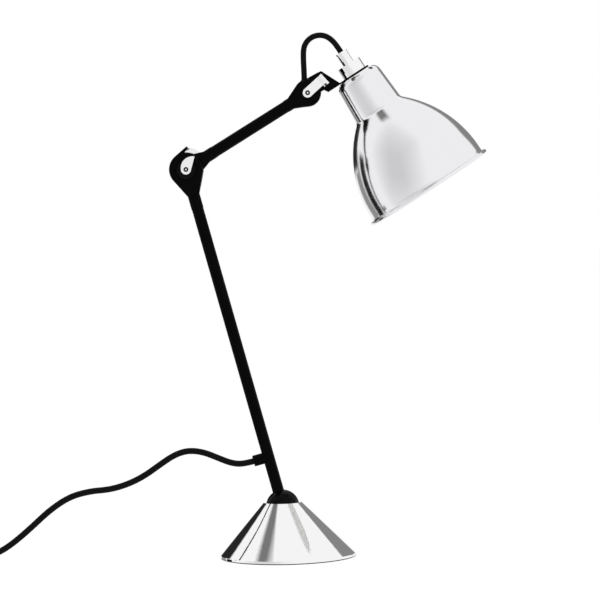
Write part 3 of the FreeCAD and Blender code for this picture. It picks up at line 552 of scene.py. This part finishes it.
class LAMP_OT_shade(bpy.types.Operator):
    """Spins the shade with its rim and air holes, satin outside and white inside"""

    bl_idname = "lamp.shade"
    bl_label = "Shade"

    # Columns from one air hole to the next, half the rows and columns of the opening for one hole,
    # and the rows above that opening
    per_vent = 24
    patch = 4
    patch_row = 3

    def skin(self, sizes, inset):
        """Radii and heights from the top hole down to the lip, with the rows that hold the air holes."""
        shoulder = sizes.shoulder - inset
        centre = sizes.neck_top_radius - sizes.shoulder
        level = sizes.shade_height - sizes.shoulder
        flat_radius = 0.01
        top_bend = math.pi / 2 - 0.05
        low_bend = 0.18
        half_opening = 0.0038
        opening_bend = half_opening / sizes.shoulder
        rows = [(sizes.top_hole, sizes.shade_height - inset), (flat_radius, sizes.shade_height - inset)]
        bends = [math.pi / 4 + opening_bend * (1 - k / self.patch) for k in range(2 * self.patch + 1)]
        for bend in [top_bend, *bends, low_bend, 0.0]:
            rows.append((centre + shoulder * math.cos(bend), level + shoulder * math.sin(bend)))
        bell = sizes.bell_arc - inset
        bell_centre = sizes.lip_radius - sizes.bell_arc
        foot = sizes.neck_low_radius - inset
        kink = math.acos((foot - bell_centre) / bell)
        kink_height = sizes.lip_height + bell * math.sin(kink)
        neck = sizes.neck_top_radius - inset
        fold = 0.0025
        drop = level - kink_height
        neck_rows = fold_rows = 6
        bell_rows = 32
        for k in range(1, neck_rows + 1):
            share = k / neck_rows * (1 - fold / drop)
            rows.append((neck + (foot - neck) * share, level - drop * share))
        before = Vector(rows[-1])
        start = kink - fold / bell
        after = Vector((bell_centre + bell * math.cos(start), sizes.lip_height + bell * math.sin(start)))
        corner = Vector((foot, kink_height))
        for k in range(1, fold_rows):
            t = k / fold_rows
            rows.append(tuple(before * (1 - t) ** 2 + corner * 2 * t * (1 - t) + after * t ** 2))
        for k in range(bell_rows + 1):
            angle = start * (1 - k / bell_rows)
            rows.append((bell_centre + bell * math.cos(angle), sizes.lip_height + bell * math.sin(angle)))
        return rows

    def rim(self, sizes):
        """From the outside of the lip round the bead to the inside of the lip."""
        bead = sizes.rim_radius - sizes.rim_bead
        top = 2 * sizes.rim_bead
        hollow = 0.0012
        mid_hollow = 0.0004
        bead_rows = 12
        rows = [(sizes.lip_radius, top + hollow), (sizes.lip_radius + mid_hollow, top + mid_hollow),
                (sizes.lip_radius + hollow, top)]
        for k in range(bead_rows + 1):
            turn = math.pi * (0.5 - k / bead_rows)
            rows.append((bead + sizes.rim_bead * math.cos(turn), sizes.rim_bead * (1 + math.sin(turn))))
        return rows + [(sizes.lip_radius - sizes.shade_wall, 0)]

    def place(self, sizes, radius, height, turn):
        """The point at a radius from the shade's axis, a height over its rim and a turn about its axis."""
        foot = WRIST + SHADE_RIGHT * sizes.shade_axis - SHADE_UP * (sizes.shade_top + sizes.shade_height)
        out = SHADE_RIGHT * math.cos(turn) - FRONT * math.sin(turn)
        return foot + out * radius + SHADE_UP * height

    def walls(self, row_count, columns, inside_from, openings):
        """Faces between neighbouring rows except in the openings, each with whether it is inside."""
        faces = []
        for i in range(row_count):
            below = (i + 1) % row_count
            beside_vent = any(start <= i < start + 2 * self.patch for start in openings)
            for j in range(columns):
                if beside_vent and (j + self.patch) % self.per_vent < 2 * self.patch:
                    continue
                after = (j + 1) % columns
                corners = (i * columns + j, i * columns + after, below * columns + after, below * columns + j)
                faces.append((corners, inside_from <= i < row_count - 1))
        return faces

    def border(self):
        """Rows and columns of the points round an opening."""
        side = 2 * self.patch
        steps = range(side)
        first_half = [(0, k) for k in steps] + [(k, side) for k in steps]
        return first_half + [(side, side - k) for k in steps] + [(side - k, 0) for k in steps]

    def vent_edge(self, sizes, inset, middle_radius, turn, angle):
        """The point of an air hole's edge at an angle about the hole."""
        bend = math.pi / 4 + sizes.vent_radius * math.sin(angle) / sizes.shoulder
        shoulder = sizes.shoulder - inset
        radius = sizes.neck_top_radius - sizes.shoulder + shoulder * math.cos(bend)
        height = sizes.shade_height - sizes.shoulder + shoulder * math.sin(bend)
        return self.place(sizes, radius, height, turn + sizes.vent_radius * math.cos(angle) / middle_radius)

    def execute(self, context):
        sizes = context.scene.lamp_sizes
        outer = self.skin(sizes, 0)
        inner = self.skin(sizes, sizes.shade_wall)
        rim = self.rim(sizes)
        rows = outer + rim + inner[::-1]
        columns = sizes.vent_count * self.per_vent
        step = 2 * math.pi / columns
        first_turn = sizes.vent_turn - math.pi / 2
        vertices = []
        for radius, height in rows:
            vertices += [self.place(sizes, radius, height, first_turn + j * step) for j in range(columns)]
        inner_opening = len(rows) - 1 - self.patch_row - 2 * self.patch
        faces = self.walls(len(rows), columns, len(outer) + len(rim), (self.patch_row, inner_opening))

        # Round edges in both skins fill the openings, and short walls join them through the sheet
        for vent in range(sizes.vent_count):
            turn = first_turn + vent * self.per_vent * step
            edges = []
            for start, inset, way in ((self.patch_row, 0, 1), (inner_opening, sizes.shade_wall, -1)):
                middle = Vector(rows[start + self.patch])
                loop = []
                for k, j in self.border():
                    corner = (start + k) * columns + (vent * self.per_vent + j - self.patch) % columns
                    angle = math.atan2((self.patch - k) * way, j - self.patch)
                    loop.append((angle, corner, len(vertices)))
                    vertices.append(self.vent_edge(sizes, inset, middle.x, turn, angle))
                for (_, a, d), (_, b, c) in zip(loop, loop[1:] + loop[:1]):
                    faces.append(((a, b, c, d), way < 0))
                edges.append([edge for _, _, edge in sorted(loop)])
            near, far = edges
            for corners in zip(near, near[1:] + near[:1], far[1:] + far[:1], far):
                faces.append((corners, False))

        corners, inside = zip(*faces)
        piece = new_piece("spun_shade", vertices, corners, satin_spun_chrome(), white_lacquer())
        piece.data.polygons.foreach_set("material_index", [int(flag) for flag in inside])
        face_outwards(piece)
        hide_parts("shade")
        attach(piece, "head")
        return {"FINISHED"}


class LAMP_OT_head(bpy.types.Operator):
    """Finishes the collar, the sleeve, the lampholder and the bulb"""

    bl_idname = "lamp.head"
    bl_label = "Head fittings"

    def execute(self, context):
        colours = context.scene.lamp_colours
        finish(polished_chrome(), "collar", "sleeve")
        finish(moulded_abs("pressed_bakelite", colours.bakelite), "lampholder")
        finish(plated("nickel_plate", colours.nickel), "nipple", "lock_nut", "lampholder_contact", "bulb_cap")
        finish(opal_glass(), "bulb")
        return {"FINISHED"}


class LAMP_OT_switch(bpy.types.Operator):
    """Finishes the line switch and the coil's tie"""

    bl_idname = "lamp.switch"
    bl_label = "Line switch"

    def execute(self, context):
        colours = context.scene.lamp_colours
        finish(moulded_abs("switch_abs", colours.plastic), "switch_body", "cord_tie")
        finish(moulded_abs("rocker_abs", colours.rocker), "switch_rocker")
        return {"FINISHED"}


class LAMP_OT_plug(bpy.types.Operator):
    """Finishes the plug"""

    bl_idname = "lamp.plug"
    bl_label = "Plug"

    def execute(self, context):
        colours = context.scene.lamp_colours
        finish(moulded_abs("plug_pvc", colours.plastic), "plug_body", "plug_relief")
        finish(plated("pin_nickel", colours.nickel), "plug_pins")
        return {"FINISHED"}


def studio_paper():
    """Grey studio paper, as bright as its own brightness says, which rises to white at its edges."""
    material = bpy.data.materials.new("studio_paper")
    material.use_nodes = True
    tree = material.node_tree
    tree.nodes.clear()
    level = add_node(tree, "ShaderNodeAttribute", {"attribute_name": "brightness"})
    glow = add_node(tree, "ShaderNodeEmission", links={"Strength": level.outputs["Fac"]})
    add_node(tree, "ShaderNodeOutputMaterial", links={"Surface": glow.outputs["Emission"]})
    return material


class LAMP_OT_stage(bpy.types.Operator):
    """Sets up the camera, the floor, the light and the grey backdrop panels"""

    bl_idname = "lamp.stage"
    bl_label = "Stage"

    def camera(self, scene, stage):
        """A long lens at the photo's viewing angle."""
        eye = Vector(stage.eye)
        aim = Vector(stage.aim)
        sensor = 36
        lens = bpy.data.cameras.new("photo_camera")
        lens.sensor_width = sensor
        lens.lens = sensor * (aim - eye).length / stage.frame_width
        lens.clip_end = 50
        camera = bpy.data.objects.new("photo_camera", lens)
        turn = (aim - eye).to_track_quat("-Z", "Y").to_matrix() @ Matrix.Rotation(stage.roll, 3, "Z")
        camera.matrix_world = Matrix.Translation(eye) @ turn.to_4x4()
        scene.collection.objects.link(camera)
        scene.camera = camera

    def floor(self):
        """A pale floor that is nearly white by itself and keeps a faint shadow."""
        material = bpy.data.materials.new("pale_floor")
        material.use_nodes = True
        tree = material.node_tree
        tree.nodes.clear()
        dull = add_node(tree, "ShaderNodeBsdfDiffuse", values={"Color": (0.99, 0.99, 0.99, 1)})
        glow = add_node(tree, "ShaderNodeEmission", values={"Color": (1, 1, 1, 1), "Strength": 1})
        both = add_node(tree, "ShaderNodeMixShader", values={"Fac": 0.86})
        tree.links.new(dull.outputs["BSDF"], both.inputs[1])
        tree.links.new(glow.outputs["Emission"], both.inputs[2])
        add_node(tree, "ShaderNodeOutputMaterial", links={"Surface": both.outputs["Shader"]})
        reach = 12
        low = -0.0002
        floor = new_piece("floor", [(-reach, -reach, low), (reach, -reach, low), (reach, reach, low),
                                    (-reach, reach, low)], [(0, 1, 2, 3)], material)
        floor.visible_glossy = False

    def world(self, scene, fill):
        """Even white light from all round."""
        world = bpy.data.worlds.new("studio")
        world.use_nodes = True
        tree = world.node_tree
        tree.nodes.clear()
        white = add_node(tree, "ShaderNodeBackground", values={"Color": (1, 1, 1, 1), "Strength": fill})
        add_node(tree, "ShaderNodeOutputWorld", links={"Surface": white.outputs["Background"]})
        scene.world = world

    def lamp(self, scene, name, place, power, size):
        """A square lamp that points at the object and isn't seen in reflections."""
        target = Vector((0, 0, 0.2))
        light = bpy.data.lights.new(name, "AREA")
        light.energy = power
        light.size = size
        lamp = bpy.data.objects.new(name, light)
        lamp.location = place
        lamp.rotation_euler = (target - lamp.location).to_track_quat("-Z", "Y").to_euler()
        lamp.visible_glossy = False
        scene.collection.objects.link(lamp)

    def backdrop(self, paper, name, turn, rise, wide, tall, level, soft=0.16):
        """A plain grey panel far from the object, seen only in reflections.

        In degrees, it is turned to the right from the front and raised, and fills the wide and tall angles.
        Soft is the share of each half that rises to white at the edge."""
        centre = Vector((0, 0, 0.28))
        distance = 2.5
        turn = math.radians(turn)
        rise = math.radians(rise)
        level_way = RIGHT * math.sin(turn) + FRONT * math.cos(turn)
        out = level_way * math.cos(rise) + Vector((0, 0, math.sin(rise)))
        along = RIGHT * math.cos(turn) - FRONT * math.sin(turn)
        upward = out.cross(along)
        middle = centre + out * distance
        half_width = along * distance * math.tan(math.radians(wide / 2))
        half_height = upward * distance * math.tan(math.radians(tall / 2))
        steps = (-1, soft - 1, 1 - soft, 1)
        corners = []
        levels = []
        for high in steps:
            for side in steps:
                corners.append(middle + half_width * side + half_height * high)
                at_edge = 1 in (abs(high), abs(side))
                levels.append(1 if at_edge else level)
        across = len(steps)
        starts = [row * across + column for row in range(across - 1) for column in range(across - 1)]
        faces = [(a, a + 1, a + across + 1, a + across) for a in starts]
        panel = new_piece(name, corners, faces, paper)
        brightness = panel.data.attributes.new("brightness", "FLOAT", "POINT")
        brightness.data.foreach_set("value", levels)
        panel.visible_camera = False
        panel.visible_diffuse = False
        panel.visible_transmission = False
        panel.visible_shadow = False

    def execute(self, context):
        scene = context.scene
        stage = scene.lamp_stage
        self.camera(scene, stage)
        self.floor()
        self.world(scene, stage.fill)
        self.lamp(scene, "key", place=(-0.95, -1.6, 2.1), power=stage.key, size=0.7)
        self.lamp(scene, "side", place=(1.2, -0.1, 2.3), power=stage.side, size=0.5)
        paper = studio_paper()
        self.backdrop(paper, "left_panel", turn=-118, rise=-20, wide=18, tall=58, level=0.01)
        self.backdrop(paper, "low_left_panel", turn=-141, rise=-22, wide=24, tall=62, level=0.3)
        self.backdrop(paper, "rear_left_panel", turn=-151, rise=15, wide=34, tall=34, level=0.02)
        self.backdrop(paper, "rear_right_panel", turn=155, rise=20, wide=44, tall=34, level=0.25)
        self.backdrop(paper, "front_panel", turn=-40, rise=12, wide=90, tall=110, level=0.7, soft=0.85)
        self.backdrop(paper, "top_panel", turn=-88, rise=63, wide=22, tall=20, level=0.2, soft=0.5)
        scene.view_settings.view_transform = "Standard"
        return {"FINISHED"}


class LAMP_PT_panel(bpy.types.Panel):
    """Lists the steps that dress the lamp"""

    bl_label = "Architect lamp"
    bl_idname = "LAMP_PT_panel"
    bl_space_type = "VIEW_3D"
    bl_region_type = "UI"
    bl_category = "Lamp"

    def draw(self, context):
        for step in STEPS:
            self.layout.operator(step.bl_idname)


STEPS = (LAMP_OT_stage, LAMP_OT_cords, LAMP_OT_base, LAMP_OT_arms, LAMP_OT_levers, LAMP_OT_shade,
         LAMP_OT_head, LAMP_OT_switch, LAMP_OT_plug)
GROUPS = {"lamp_sizes": LampSizes, "lamp_colours": LampColours, "lamp_stage": LampStage}


def register():
    """Adds the property groups, the operators and the panel."""
    for group in GROUPS.values():
        bpy.utils.register_class(group)
    for name, group in GROUPS.items():
        setattr(bpy.types.Scene, name, PointerProperty(type=group))
    for step in (*STEPS, LAMP_PT_panel):
        bpy.utils.register_class(step)


def unregister():
    """Takes all of them out again."""
    for step in (LAMP_PT_panel, *reversed(STEPS)):
        bpy.utils.unregister_class(step)
    for name in GROUPS:
        delattr(bpy.types.Scene, name)
    for group in reversed(GROUPS.values()):
        bpy.utils.unregister_class(group)


def main():
    """Dresses the lamp."""
    register()
    bpy.ops.lamp.stage()
    bpy.ops.lamp.cords()
    bpy.ops.lamp.base()
    bpy.ops.lamp.arms()
    bpy.ops.lamp.levers()
    bpy.ops.lamp.shade()
    bpy.ops.lamp.head()
    bpy.ops.lamp.switch()
    bpy.ops.lamp.plug()


if __name__ == "__main__":
    main()
